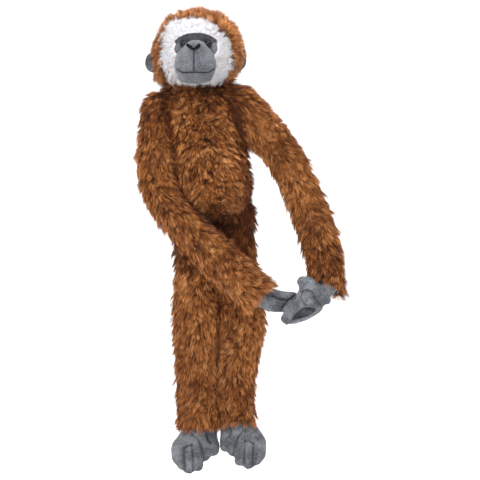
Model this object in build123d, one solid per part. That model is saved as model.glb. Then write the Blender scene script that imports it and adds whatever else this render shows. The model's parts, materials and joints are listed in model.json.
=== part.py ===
from build123d import *
import math
import os

# A stuffed hanging monkey of shaggy plush, 510 mm tall from the crown to the toes, held up by
# its nape, with its long arms brought together and its hands joined in front.
# Millimetres. +Z is up, the face looks along -Y, and the toy's left side is at +X.
# The finished model's origin is the middle of its box, at the height of the lowest toe.

# ---- cloth and fits ----
SKIN = 2.4  # plush backing and the pressed root of its pile
FIT = 0.15  # between a skin and the stuffing that fills it
CLEAR = 0.4  # between two lengths of a limb at a bend
BALL_OVER = 0.6  # a bend's ball stands this much proud of its tube
RIM_REACH = 4  # how far a trimming ring reaches outside its tube

# ---- limbs ----
ARM_R = 17.5
LEG_R = 20
HAND_BALL_R = 11
FOOT_BALL_R = 14

# How far each bend opens, as the half angle of the cones that the two lengths keep to.
ELBOW_KEEP = 52
WRIST_KEEP = 46
KNEE_KEEP = 43
ANKLE_KEEP = 48

# How far each arm is raised and each leg spread, which the torso leaves room for.
RAISE_DEG = {"right": 120, "left": 85}
SPREAD_DEG = 40

# Each limb bends at these centres, and each length bows through the point between them.
ARMS = {
    "right": {
        "shoulder": (-67, -6, 398),
        "upper_bow": (-76, -23, 348),
        "elbow": (-60, -38, 298),
        "fore_bow": (-10, -40, 240),
        "wrist": (46, -42, 194),
    },
    "left": {
        "shoulder": (19, -4, 399),
        "upper_bow": (55, -11, 365),
        "elbow": (82, -21, 322),
        "fore_bow": (110, -42, 252),
        "wrist": (105, -57.7, 203),
    },
}
LEGS = {
    "right": {
        "hip": (-32, 4, 286),
        "thigh_bow": (-31, 3, 228),
        "knee": (-28, 2, 170),
        "shin_bow": (-28, 3, 111),
        "ankle": (-27, 3, 52),
    },
    "left": {
        "hip": (13, 4, 286),
        "thigh_bow": (18, 3, 228),
        "knee": (22, 2, 172),
        "shin_bow": (22, 3, 114),
        "ankle": (20, 3, 57),
    },
}
OUTWARD = {"right": -1, "left": 1}

# ---- torso: height, centre X, centre Y, half width and half depth of each section ----
TORSO_SECTIONS = [
    (286, -9.5, 1, 20, 20),
    (297, -10.5, 0, 34, 32),
    (315, -12.5, 0, 39, 37),
    (340, -15.5, 0, 39, 38),
    (370, -19, 1, 36, 34),
    (395, -22, 2, 34, 30),
    (412, -23.5, 2, 29, 25),
    (422, -24.5, 2, 20, 18),
]

# ---- head ----
NECK = (-25, 2, 427)
NECK_BALL_R = 16
HEAD = (-26, 0, 465)
HEAD_ACROSS_R = 46
HEAD_UP_R = 40
HEAD_SIDE_R = 36
MUZZLE = (-28.5, -41, 450.5)
MUZZLE_R = 21
SEAM = 0.1  # between two pieces of cloth that are sewn edge to edge
RUFF = {"x": -27.5, "z": 461, "half_width": 40, "half_height": 36, "back_y": -5}
EYE_PANEL = {"x": -28, "z": 470, "half_width": 26, "half_height": 15, "back_y": -20}
FACE_FRONT_Y = -75
EYES = {"right": (-43.5, -41.6, 473), "left": (-13, -43.2, 473)}
EYE_R = 4.2
EYE_DOME = 3.4
EYE_SIDE_R = 2.2
SHANK_R = 1.3
SHANK_LENGTH = 13
WASHER_R = 5
WASHER_THICK = 1
WASHER_BACK = 8  # behind the eye's centre
EAR_R = 12
EAR_HALF_THICK = 4.5
EAR_SIDE_R = 2.5
EAR_OUT = 52  # from the head's middle
EAR_DROP = 16
EAR_BACK = 2
EAR_FACING = {"out": 0.8, "forward": 0.6}  # the way that an ear's flat front looks
THREAD = 0.8
THREAD_BACK_Y = -48  # the embroidery reaches this far back round the muzzle
NOSTRIL = {"out": 5, "up": 13.5, "length": 6, "width": 2.2, "tilt": 30}
MOUTH = {"drop": 11.5, "length": 26, "width": 1.2, "bow_r": 60, "line_top": 10}

# ---- hands: measured along the hand from the wrist, and across it towards the thumb ----
CLASP = (77, 188)  # X and Z of the middle of the joined fasteners
PALM_R = 17
PALM_HALF_THICK = 9
PALM_SIDE_R = 6
PALM_FLAT = 6.5  # from the hand's middle to the flat under its fastener
PALM_ALONG = 27
FASTENER_R = 7
FASTENER_THICK = 1.2
HAND_NECK_R = 8
FINGER_R = 5.6
FINGER_TIPS = [(44, -12.5), (51, -4.4), (52, 4.2), (46, 12.4)]
FINGER_ROOT = 26
FINGER_SPREAD = 0.6  # how far apart the finger roots are, as a share of their tips' spread
THUMB = {"from": (19, 6), "to": (18, 17), "r": 5.8}
PALM_SIDE = {"right": -1, "left": 1}  # the way along Y that each palm faces

# ---- feet: measured out from the ankle to the toy's outer side, and up ----
FOOT_PAD = {"out": 3, "up": -19, "r": 19, "half_thick": 11, "side_r": 8}
FOOT_NECK_R = 12
TOES = [
    {"from": (9, -18), "to": (20, -26), "r": 8},
    {"from": (5, -22), "to": (7, -41), "r": 8.6},
    {"from": (0, -22), "to": (-5, -35), "r": 8},
    {"from": (-2, -12), "to": (-14, -17), "r": 7.6},
]


def tube(path, radius):
    """A round tube along a path."""
    return sweep(Plane(origin=path @ 0, z_dir=path % 0) * Circle(radius), path=path)


def ball(centre, radius):
    return Pos(*centre) * Sphere(radius)


def capsule(start, end, radius):
    """A round-ended bar whose two end balls are centred on start and end."""
    along = Vector(*end) - Vector(*start)
    slot = SlotCenterToCenter(along.length, 2 * radius)
    upper_half = Pos(0, radius) * Rectangle(along.length + 4 * radius, 2 * radius)
    bar = revolve(slot & upper_half, axis=Axis.X)
    middle = (Vector(*start) + Vector(*end)) * 0.5
    across = along.cross(Vector(0, 1, 0))
    return Plane(origin=middle, x_dir=along.normalized(), z_dir=across.normalized()) * bar


def oval(centre, axis, across_r, along_r, side_r, inset=0):
    """A round pebble: two caps on the axis, joined by a rounded side of radius side_r."""
    side_out = across_r - side_r
    rise = along_r - side_r
    cap_back = (side_out**2 - rise**2) / (2 * rise)
    cap_r = along_r + cap_back - inset
    lean = math.atan2(side_out, cap_back)

    def on_cap(turn, way):
        return (cap_r * math.sin(turn), 0, way * (cap_r * math.cos(turn) - cap_back))

    top, side, bottom = (0, 0, along_r - inset), (across_r - inset, 0, 0), (0, 0, inset - along_r)
    outline = [ThreePointArc(top, on_cap(lean / 2, 1), on_cap(lean, 1))]
    outline.append(ThreePointArc(on_cap(lean, 1), side, on_cap(lean, -1)))
    outline.append(ThreePointArc(on_cap(lean, -1), on_cap(lean / 2, -1), bottom))
    outline.append(Line(bottom, top))
    return Plane(origin=centre, z_dir=axis) * revolve(make_face(outline), axis=Axis.Z)


def trim_ring(centre, into, keep_deg, radius, inset):
    """What is cut off a tube's end, so that only the cone round its own direction is left."""
    keep = math.radians(keep_deg)
    reach = radius + RIM_REACH
    tip = inset / math.sin(keep)
    rim = tip + reach / math.tan(keep)
    outline = Polyline((0, 0, tip), (reach, 0, rim), (reach, 0, -reach), (0, 0, -reach), (0, 0, tip))
    return Plane(origin=centre, z_dir=into) * revolve(make_face(outline), axis=Axis.Z)


def limb_length(path, radius, near_keep, far_keep, far_ball, inset):
    """One length of a limb: a ball at its near end, and a cup for the next ball at its far end."""
    form = tube(path, radius - inset)
    if near_keep:
        form -= trim_ring(path @ 0, path % 0, near_keep, radius, inset)
    form += ball(path @ 0, radius + BALL_OVER - inset)
    form -= trim_ring(path @ 1, -(path % 1), far_keep, radius, inset)
    form -= ball(path @ 1, far_ball + CLEAR + inset)
    return form


def skin_and_stuffing(form_at):
    """The cloth shell and its filling, from a function that draws the form at an inset."""
    return form_at(0) - form_at(SKIN), form_at(SKIN + FIT)


def upper_arm_path(side):
    arm = ARMS[side]
    return ThreePointArc(arm["shoulder"], arm["upper_bow"], arm["elbow"])


def forearm_path(side):
    arm = ARMS[side]
    return ThreePointArc(arm["elbow"], arm["fore_bow"], arm["wrist"])


def thigh_path(side):
    leg = LEGS[side]
    return ThreePointArc(leg["hip"], leg["thigh_bow"], leg["knee"])


def shin_path(side):
    leg = LEGS[side]
    return ThreePointArc(leg["knee"], leg["shin_bow"], leg["ankle"])


def limb_room(path, radius, outward, swing_deg, inset):
    """What the torso leaves free for a limb: its ball, and its tube at rest and fully out."""
    grown = tube(path, radius + CLEAR + inset)
    axis = Axis(path @ 0, (0, -outward, 0))
    return [ball(path @ 0, radius + BALL_OVER + CLEAR + inset), grown, grown.rotate(axis, swing_deg)]


def torso_form(inset):
    bottom, top = TORSO_SECTIONS[0][0], TORSO_SECTIONS[-1][0]
    sections = []
    for z, x, y, half_width, half_depth in TORSO_SECTIONS:
        height = min(max(z, bottom + inset), top - inset)
        sections.append(Pos(x, y, height) * Ellipse(half_width - inset, half_depth - inset))
    form = loft(sections)
    form -= ball(NECK, NECK_BALL_R + CLEAR + inset)
    for side, outward in OUTWARD.items():
        arm_rooms = limb_room(upper_arm_path(side), ARM_R, outward, RAISE_DEG[side], inset)
        leg_rooms = limb_room(thigh_path(side), LEG_R, outward, SPREAD_DEG, inset)
        for room in arm_rooms + leg_rooms:
            form -= room
    return form


def head_form(inset):
    form = oval(HEAD, (0, 0, 1), HEAD_ACROSS_R, HEAD_UP_R, HEAD_SIDE_R, inset)
    return form + ball(NECK, NECK_BALL_R - inset)


def from_the_front(x, z, outline, back_y):
    """A block running back from an outline drawn in front of the face, with its second axis down."""
    at_front = Plane(origin=(x, FACE_FRONT_Y, z), x_dir=(1, 0, 0), z_dir=(0, 1, 0))
    return extrude(at_front * outline, back_y - FACE_FRONT_Y)


def face_patch(patch, grow):
    """The block that a face panel is cut out of the head's cloth with."""
    outline = Ellipse(patch["half_width"] + grow, patch["half_height"] + grow)
    return from_the_front(patch["x"], patch["z"], outline, patch["back_y"])


def eye(centre, grow):
    """A domed eye and the shank that goes through the cloth."""
    x, y, z = centre
    shank_end = Plane(origin=(x, y + SHANK_LENGTH / 2, z), z_dir=(0, 1, 0))
    shank = shank_end * Cylinder(SHANK_R + grow, SHANK_LENGTH)
    return oval(centre, (0, 1, 0), EYE_R, EYE_DOME, EYE_SIDE_R, -grow) + shank


def washer(centre, grow):
    """The ring that grips an eye's shank behind the cloth."""
    x, y, z = centre
    place = Plane(origin=(x, y + WASHER_BACK, z), z_dir=(0, 1, 0))
    return place * Cylinder(WASHER_R + grow, WASHER_THICK + 2 * grow)


def ear(outward):
    middle = (HEAD[0] + outward * EAR_OUT, HEAD[1] + EAR_BACK, HEAD[2] - EAR_DROP)
    facing = (outward * EAR_FACING["out"], -EAR_FACING["forward"], 0)
    return oval(middle, facing, EAR_R, EAR_HALF_THICK, EAR_SIDE_R)


def thread_layer():
    """The thickness in which embroidery lies on the muzzle."""
    return ball(MUZZLE, MUZZLE_R + SEAM + THREAD) - ball(MUZZLE, MUZZLE_R + SEAM)


def stitches(outline):
    """Embroidery on the muzzle with the given outline, drawn from the muzzle's middle."""
    return thread_layer() & from_the_front(MUZZLE[0], MUZZLE[2], outline, THREAD_BACK_Y)


def nose_outline():
    """Two slanted nostrils."""
    slots = Sketch()
    for way in (-1, 1):
        place = Pos(way * NOSTRIL["out"], -NOSTRIL["up"]) * Rot(0, 0, -way * NOSTRIL["tilt"])
        slots += place * SlotOverall(NOSTRIL["length"], NOSTRIL["width"])
    return slots


def mouth_outline():
    """A smiling line, and the seam that runs up from it to the nose."""
    half_turn = math.degrees(MOUTH["length"] / 2 / MOUTH["bow_r"])
    bow_middle = (0, MOUTH["drop"] - MOUTH["bow_r"])
    bow = CenterArc(bow_middle, MOUTH["bow_r"], 90 - half_turn, 2 * half_turn)
    smile = SlotArc(bow, MOUTH["width"])
    line_height = MOUTH["drop"] + MOUTH["line_top"]
    middle_line = Pos(0, (MOUTH["drop"] - MOUTH["line_top"]) / 2) * Rectangle(MOUTH["width"], line_height)
    return smile + middle_line


def make_head():
    shell, stuffing = skin_and_stuffing(head_form)
    parts = {
        "head_skin": shell - face_patch(RUFF, SEAM),
        "face_ruff": (shell & face_patch(RUFF, 0)) - face_patch(EYE_PANEL, SEAM),
        "eye_panel": shell & face_patch(EYE_PANEL, 0),
    }
    face_front = oval(HEAD, (0, 0, 1), HEAD_ACROSS_R, HEAD_UP_R, HEAD_SIDE_R, -SEAM)
    for side, centre in EYES.items():
        parts["eye_panel"] -= eye(centre, SEAM)
        stuffing = stuffing - eye(centre, SEAM) - washer(centre, SEAM)
        parts[side + "_eye"] = eye(centre, 0)
        parts[side + "_eye_washer"] = washer(centre, 0) - eye(centre, SEAM / 2)
        parts[side + "_ear"] = ear(OUTWARD[side])
    muzzle_shell = ball(MUZZLE, MUZZLE_R) - ball(MUZZLE, MUZZLE_R - SKIN)
    parts["muzzle_skin"] = muzzle_shell - face_front
    parts["muzzle_stuffing"] = ball(MUZZLE, MUZZLE_R - SKIN - FIT) - face_front
    parts["head_stuffing"] = stuffing
    parts["nose_stitching"] = stitches(nose_outline())
    parts["mouth_stitching"] = stitches(mouth_outline())
    return parts


def hand_frame(side):
    """The wrist, the way along the hand, and the way across it towards the thumb."""
    wrist = Vector(*ARMS[side]["wrist"])
    along = (Vector(CLASP[0], wrist.Y, CLASP[1]) - wrist).normalized()
    thumb_way = Vector(-along.Z, 0, along.X) * -OUTWARD[side]
    return wrist, along, thumb_way


def hand_form(side, inset):
    wrist, along, thumb_way = hand_frame(side)

    def place(distance, across):
        return wrist + along * distance + thumb_way * across

    form = oval(place(PALM_ALONG, 0), (0, 1, 0), PALM_R, PALM_HALF_THICK, PALM_SIDE_R, inset)
    form += capsule(wrist, place(PALM_ALONG, 0), HAND_NECK_R - inset)
    form += Plane(origin=wrist, x_dir=-along, z_dir=(0, 1, 0)) * Sphere(HAND_BALL_R - inset)
    for tip_along, tip_across in FINGER_TIPS:
        root = place(FINGER_ROOT, tip_across * FINGER_SPREAD)
        form += capsule(root, place(tip_along, tip_across), FINGER_R - inset)
    form += capsule(place(*THUMB["from"]), place(*THUMB["to"]), THUMB["r"] - inset)
    flat_middle = place(PALM_ALONG, 0) + Vector(0, PALM_SIDE[side] * (PALM_FLAT - inset + PALM_R), 0)
    return form - Pos(*flat_middle) * Box(4 * PALM_R, 2 * PALM_R, 4 * PALM_R)


def palm_fastener(side):
    """The hook or loop disc sewn on a palm."""
    wrist = Vector(*ARMS[side]["wrist"])
    middle = (CLASP[0], wrist.Y + PALM_SIDE[side] * (PALM_FLAT + FASTENER_THICK / 2), CLASP[1])
    return Plane(origin=middle, z_dir=(0, 1, 0)) * Cylinder(FASTENER_R, FASTENER_THICK)


def make_arm(side):
    def upper_form(inset):
        return limb_length(upper_arm_path(side), ARM_R, None, ELBOW_KEEP, ARM_R + BALL_OVER, inset)

    def fore_form(inset):
        return limb_length(forearm_path(side), ARM_R, ELBOW_KEEP, WRIST_KEEP, HAND_BALL_R, inset)

    parts = {}
    forms = {"upper_arm": upper_form, "forearm": fore_form, "hand": lambda inset: hand_form(side, inset)}
    for name, form_at in forms.items():
        skin, stuffing = skin_and_stuffing(form_at)
        parts[f"{side}_{name}_skin"] = skin
        parts[f"{side}_{name}_stuffing"] = stuffing
    parts[f"{side}_palm_fastener"] = palm_fastener(side)
    return parts


def foot_form(side, inset):
    ankle = Vector(*LEGS[side]["ankle"])

    def place(out, up):
        return ankle + Vector(OUTWARD[side] * out, 0, up)

    pad = place(FOOT_PAD["out"], FOOT_PAD["up"])
    form = oval(pad, (0, 1, 0), FOOT_PAD["r"], FOOT_PAD["half_thick"], FOOT_PAD["side_r"], inset)
    form += capsule(ankle, pad, FOOT_NECK_R - inset)
    form += ball(ankle, FOOT_BALL_R - inset)
    for toe in TOES:
        form += capsule(place(*toe["from"]), place(*toe["to"]), toe["r"] - inset)
    return form


def make_leg(side):
    def thigh_form(inset):
        return limb_length(thigh_path(side), LEG_R, None, KNEE_KEEP, LEG_R + BALL_OVER, inset)

    def shin_form(inset):
        return limb_length(shin_path(side), LEG_R, KNEE_KEEP, ANKLE_KEEP, FOOT_BALL_R, inset)

    parts = {}
    forms = {"thigh": thigh_form, "shin": shin_form, "foot": lambda inset: foot_form(side, inset)}
    for name, form_at in forms.items():
        skin, stuffing = skin_and_stuffing(form_at)
        parts[f"{side}_{name}_skin"] = skin
        parts[f"{side}_{name}_stuffing"] = stuffing
    return parts


def make_all():
    parts = {}
    parts["torso_skin"], parts["torso_stuffing"] = skin_and_stuffing(torso_form)
    parts.update(make_head())
    for side in OUTWARD:
        parts.update(make_arm(side))
        parts.update(make_leg(side))
    return parts


PARTS = make_all()
BOXES = [part.bounding_box() for part in PARTS.values()]
LOW = [min(getattr(box.min, axis) for box in BOXES) for axis in "XYZ"]
HIGH = [max(getattr(box.max, axis) for box in BOXES) for axis in "XYZ"]
SHIFT = Vector(-(LOW[0] + HIGH[0]) / 2, -(LOW[1] + HIGH[1]) / 2, -LOW[2])

os.makedirs("parts", exist_ok=True)
for node, part in PARTS.items():
    export_step(Pos(*SHIFT) * part, f"parts/{node}.step")
print("size", [round(high - low, 2) for low, high in zip(LOW, HIGH)])
print("shift", [round(value, 3) for value in SHIFT])
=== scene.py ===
import json
import math

import bpy
import numpy as np
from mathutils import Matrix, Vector, kdtree


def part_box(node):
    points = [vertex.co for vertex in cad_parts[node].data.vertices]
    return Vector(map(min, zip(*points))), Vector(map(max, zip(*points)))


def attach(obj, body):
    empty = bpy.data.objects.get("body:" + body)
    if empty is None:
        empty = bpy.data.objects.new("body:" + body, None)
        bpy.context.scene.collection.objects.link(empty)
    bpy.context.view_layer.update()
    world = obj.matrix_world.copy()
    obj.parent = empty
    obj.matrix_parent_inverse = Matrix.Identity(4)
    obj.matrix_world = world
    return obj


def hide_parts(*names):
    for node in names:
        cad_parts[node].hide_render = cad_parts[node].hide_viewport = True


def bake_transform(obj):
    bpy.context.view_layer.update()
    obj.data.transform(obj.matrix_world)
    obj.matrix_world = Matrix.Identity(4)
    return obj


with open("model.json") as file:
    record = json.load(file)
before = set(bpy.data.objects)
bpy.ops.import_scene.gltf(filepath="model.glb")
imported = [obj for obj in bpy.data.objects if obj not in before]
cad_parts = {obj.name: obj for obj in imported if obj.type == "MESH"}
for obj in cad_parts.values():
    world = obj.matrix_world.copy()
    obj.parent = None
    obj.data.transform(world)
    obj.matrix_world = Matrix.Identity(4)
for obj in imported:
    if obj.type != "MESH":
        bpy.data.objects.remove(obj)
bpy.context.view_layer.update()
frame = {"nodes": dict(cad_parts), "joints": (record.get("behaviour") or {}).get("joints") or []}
JOINT = {j["name"]: np.array(j["pos_m"], float) for j in frame["joints"]}
OUTWARD = {"right": -1.0, "left": 1.0}
ACROSS = np.array((1.0, 0.0, 0.0))
BACKWARD = np.array((0.0, 1.0, 0.0))
UP = np.array((0.0, 0.0, 1.0))
MM = 0.001


# ---- arithmetic

def unit(v):
    return v / np.maximum(np.linalg.norm(v, axis=-1, keepdims=True), 1e-12)


def smoothstep(x, low, high):
    t = np.clip((x - low) / (high - low), 0.0, 1.0)
    return t * t * (3 - 2 * t)


def bell(x, width):
    """1 at zero, falling smoothly to almost nothing at twice the width."""
    return np.exp(-(x / width) ** 2)


def waves(points, scale, seed, count=7):
    """Smooth noise, about -1 to 1, over distances of about scale: a sum of seeded sine waves."""
    rng = np.random.default_rng(seed)
    total = np.zeros(len(points))
    for _ in range(count):
        heading = unit(rng.normal(size=3))
        pitch = rng.uniform(0.7, 1.6) * 2 * math.pi / (scale * 2.2)
        total += np.sin(points @ heading * pitch + rng.uniform(0, 2 * math.pi))
    return total / math.sqrt(count / 2) * 0.6


def curve_through(points, count=90):
    """Evenly spaced points on a Catmull-Rom curve through the given points."""
    p = np.array(points, float)
    p = np.vstack([2 * p[0] - p[1], p, 2 * p[-1] - p[-2]])
    t = np.linspace(0, 1, 40, endpoint=False)[:, None]
    fine = []
    for a, b, c, d in zip(p, p[1:], p[2:], p[3:]):
        bend = (2 * a - 5 * b + 4 * c - d) * t**2 + (3 * b - a - 3 * c + d) * t**3
        fine.append(0.5 * (2 * b + (c - a) * t + bend))
    fine = np.vstack(fine + [p[-2:-1]])
    along = np.r_[0, np.cumsum(np.linalg.norm(np.diff(fine, axis=0), axis=1))]
    even = np.linspace(0, along[-1], count)
    return np.stack([np.interp(even, along, fine[:, k]) for k in range(3)], axis=1)


def path_frames(centres, across):
    """Unit tangents and two steady cross directions along a path; across is near the first one."""
    tangents = unit(np.gradient(centres, axis=0))
    across = np.array(across, float)
    first = []
    for tangent in tangents:
        across = unit(across - (across @ tangent) * tangent)
        first.append(across)
    first = np.array(first)
    return tangents, first, np.cross(tangents, first)


def nearest_index(points, path):
    """For each point, the index of the nearest point of a path."""
    return ((points[:, None, :] - path[None, :, :]) ** 2).sum(axis=2).argmin(axis=1)


def box_of(node):
    """The low and high corners and the middle of a CAD node's box."""
    low, high = (np.array(v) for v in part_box(node))
    return low, high, (low + high) / 2


# ---- meshes

def linked(name, data):
    """A new object in the scene."""
    made = bpy.data.objects.new(name, data)
    bpy.context.scene.collection.objects.link(made)
    return made


def mesh_object(name, vertices, faces):
    mesh = bpy.data.meshes.new(name)
    mesh.from_pydata([tuple(v) for v in vertices], [], [tuple(f) for f in faces])
    mesh.polygons.foreach_set("use_smooth", [True] * len(mesh.polygons))
    mesh.update()
    return linked(name, mesh)


def vertex_values(mesh, name):
    values = np.zeros(len(mesh.vertices) * 3)
    mesh.vertices.foreach_get(name, values)
    return values.reshape(-1, 3)


def coordinates(piece):
    return vertex_values(piece.data, "co")


def vertex_normals(piece):
    return vertex_values(piece.data, "normal")


def set_coordinates(piece, co):
    piece.data.vertices.foreach_set("co", co.ravel())
    piece.data.update()


def rings(centres, first, second, half_first, half_second, around=40):
    """Ovals round the centres, with their half sizes along two directions."""
    turn = np.linspace(0, 2 * math.pi, around, endpoint=False)[None, :, None]
    spread = np.cos(turn) * (first * np.reshape(half_first, (-1, 1)))[:, None, :]
    spread = spread + np.sin(turn) * (second * np.reshape(half_second, (-1, 1)))[:, None, :]
    return centres[:, None, :] + spread


def ring_mesh(name, ring, close_start=True, close_end=True):
    """A tube through rings of points; a closed end is a fan to the ring's middle."""
    count, around, _ = ring.shape
    vertices = list(ring.reshape(-1, 3))
    faces = []
    for r in range(count - 1):
        for k in range(around):
            a, b = r * around + k, r * around + (k + 1) % around
            faces.append((a, b, b + around, a + around))
    for closed, r, flip in ((close_start, 0, True), (close_end, count - 1, False)):
        if closed:
            vertices.append(ring[r].mean(axis=0))
            for k in range(around):
                a, b = r * around + k, r * around + (k + 1) % around
                faces.append((b, a, len(vertices) - 1) if flip else (a, b, len(vertices) - 1))
    return mesh_object(name, vertices, faces)


# A dome's last ring is this share of its first.
TIP_SHARE = 0.03


def rounded_ends(centres, radii, steps=7):
    """Adds shrinking rings at both ends of a path, so that a tube ends in domes."""
    turn = np.linspace(0, math.pi / 2, steps)[1:]
    start_way, end_way = unit(centres[0] - centres[1]), unit(centres[-1] - centres[-2])
    before = [centres[0] + start_way * radii[0] * math.sin(t) for t in turn[::-1]]
    after = [centres[-1] + end_way * radii[-1] * math.sin(t) for t in turn]
    before_r = [max(radii[0] * math.cos(t), radii[0] * TIP_SHARE) for t in turn[::-1]]
    after_r = [max(radii[-1] * math.cos(t), radii[-1] * TIP_SHARE) for t in turn]
    return np.vstack([before, centres, after]), np.r_[before_r, radii, after_r]


def pod(points, radii, flat=1.0, steps=24, around=24):
    """A soft round-ended bar along a curve, with radii in millimetres, thinner in Y by flat."""
    centres = curve_through(points, steps)
    radii = np.interp(np.linspace(0, 1, steps), np.linspace(0, 1, len(radii)), radii) * MM
    centres, radii = rounded_ends(centres, radii)
    _, first, second = path_frames(centres, BACKWARD)
    return ring_mesh("pod", rings(centres, first, second, radii * flat, radii, around))


def apply_modifiers(piece):
    graph = bpy.context.evaluated_depsgraph_get()
    mesh = bpy.data.meshes.new_from_object(piece.evaluated_get(graph), depsgraph=graph)
    piece.modifiers.clear()
    old, piece.data = piece.data, mesh
    bpy.data.meshes.remove(old)
    mesh.polygons.foreach_set("use_smooth", [True] * len(mesh.polygons))
    mesh.update()


def joined(name, pieces):
    """One object holding the meshes of several."""
    vertices, faces, base = [], [], 0
    for piece in pieces:
        co = coordinates(piece)
        vertices.append(co)
        faces += [tuple(base + v for v in p.vertices) for p in piece.data.polygons]
        base += len(co)
        bpy.data.objects.remove(piece)
    return mesh_object(name, np.vstack(vertices), faces)


def remesh(piece, voxel, smooth):
    """Melts overlapping forms into one skin."""
    melt = piece.modifiers.new("melt", "REMESH")
    melt.mode = "VOXEL"
    melt.voxel_size = voxel
    soften = piece.modifiers.new("soften", "SMOOTH")
    soften.factor = 0.5
    soften.iterations = smooth
    apply_modifiers(piece)


CLOTH_PRESSURE = 4.0
CLOTH_FRAMES = 20


def inflate(piece, cap):
    """A short run of cloth under pressure, with no point moving further than cap."""
    start = coordinates(piece)
    cloth = piece.modifiers.new("cloth", "CLOTH")
    cloth.settings.use_pressure = True
    cloth.settings.uniform_pressure_force = CLOTH_PRESSURE
    cloth.settings.effector_weights.gravity = 0
    scene = bpy.context.scene
    for step in range(1, CLOTH_FRAMES + 1):
        scene.frame_set(step)
    graph = bpy.context.evaluated_depsgraph_get()
    move = vertex_values(piece.evaluated_get(graph).data, "co") - start
    piece.modifiers.clear()
    scene.frame_set(1)
    far = np.linalg.norm(move, axis=1, keepdims=True)
    set_coordinates(piece, start + move * np.minimum(1, cap / np.maximum(far, 1e-9)))


# ---- pile

# The brown pile, which the others differ from.
PILE_LENGTH = 12.5 * MM
LOCK_WIDTH = 0.52 * MM
LOCKS_PER_M2 = 2.1e6
TUFT_SPACING = 3.2 * MM

# A shade runs from 0, dark, to 1, light, and varies from tuft to tuft, lock to lock and in patches.
MEAN_SHADE = 0.45
TUFT_SHADES = 0.15
LOCK_SHADES = 0.27
PATCH_SHADES = 0.12
PATCH_SCALE = 35 * MM

# How broadly the pile swirls, how far each lock strays from the comb, and how deep it is rooted.
SWIRL_SCALE = 24 * MM
STRAY = 0.28
ROOT_DEPTH = 0.5 * MM

def scatter(piece, per_m2, rng, keep=None):
    """Random points on a mesh, by area, with their normals."""
    mesh = piece.data
    mesh.calc_loop_triangles()
    corners = np.zeros(len(mesh.loop_triangles) * 3, int)
    mesh.loop_triangles.foreach_get("vertices", corners)
    corners = corners.reshape(-1, 3)
    co, normals = coordinates(piece), vertex_normals(piece)
    a, b, c = (co[corners[:, k]] for k in range(3))
    area = np.linalg.norm(np.cross(b - a, c - a), axis=1) / 2
    count = int(area.sum() * per_m2)
    chosen = rng.choice(len(area), count, p=area / area.sum())
    u, v = rng.random(count), rng.random(count)
    over = u + v > 1
    u[over], v[over] = 1 - u[over], 1 - v[over]
    weights = np.stack([1 - u - v, u, v], axis=1)[:, :, None]
    points = (co[corners[chosen]] * weights).sum(axis=1)
    outward = unit((normals[corners[chosen]] * weights).sum(axis=1))
    if keep is not None:
        kept = keep(points, outward) > rng.random(count)
        points, outward = points[kept], outward[kept]
    return points, outward


def gather_tufts(points, per_m2, spacing, rng):
    """Chooses tuft centres among the points, and each point's nearest centre."""
    count = max(int(len(points) / (per_m2 * spacing**2)), 1)
    centres = rng.choice(len(points), count, replace=False)
    tree = kdtree.KDTree(count)
    for index, point in enumerate(points[centres]):
        tree.insert(point, index)
    tree.balance()
    return np.array([tree.find(p)[1] for p in points]), centres


# A lock is three-sided: three points round its root, three round its middle and one at its tip.
LOCK_STEPS = np.array((0.0, 0.5, 1.0))
LOCK_WIDTHS = np.array((0.5, 0.42))
LOCK_FACES = ((0, 1, 4, 3), (1, 2, 5, 4), (2, 0, 3, 5), (3, 4, 6), (4, 5, 6), (5, 3, 6))
POINT_STEPS = LOCK_STEPS[[0, 0, 0, 1, 1, 1, 2]]
POINT_SIDES = np.array((0, 1, -1, 0, 1, -1, 0))
UV_HALF_WIDTH = 0.004


def lock_mesh(name, spine, side, width, shade):
    """Tapering locks: spine is locks x 3 x 3, from root to tip. The UVs hold shade and step."""
    count, per_lock = len(spine), len(POINT_STEPS)
    along = unit(spine[:, 2] - spine[:, 0])
    front = np.cross(side, along)
    parts = []
    for step in (0, 1):
        half = (width * LOCK_WIDTHS[step])[:, None]
        for turn in (0, 2 * math.pi / 3, 4 * math.pi / 3):
            parts.append(spine[:, step] + half * (math.cos(turn) * side + math.sin(turn) * front))
    parts.append(spine[:, 2])
    vertices = np.stack(parts, axis=1).reshape(-1, 3)
    base = (np.arange(count) * per_lock)[:, None]
    loops = (base + np.concatenate(LOCK_FACES)).ravel()
    sizes = np.tile([len(face) for face in LOCK_FACES], count)
    mesh = bpy.data.meshes.new(name)
    mesh.vertices.add(count * per_lock)
    mesh.vertices.foreach_set("co", vertices.astype(np.float32).ravel())
    mesh.loops.add(len(loops))
    mesh.loops.foreach_set("vertex_index", loops.astype(np.int32))
    mesh.polygons.add(len(sizes))
    mesh.polygons.foreach_set("loop_start", np.r_[0, np.cumsum(sizes)[:-1]].astype(np.int32))
    mesh.polygons.foreach_set("use_smooth", [True] * len(sizes))
    mesh.update(calc_edges=True)
    u = shade[:, None] + POINT_SIDES * UV_HALF_WIDTH
    uv = np.stack([u, np.tile(POINT_STEPS, (count, 1))], axis=2).reshape(-1, 2)
    layer = mesh.uv_layers.new(name="OFBake")
    layer.data.foreach_set("uv", uv[loops].astype(np.float32).ravel())
    return linked(name, mesh)


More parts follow.
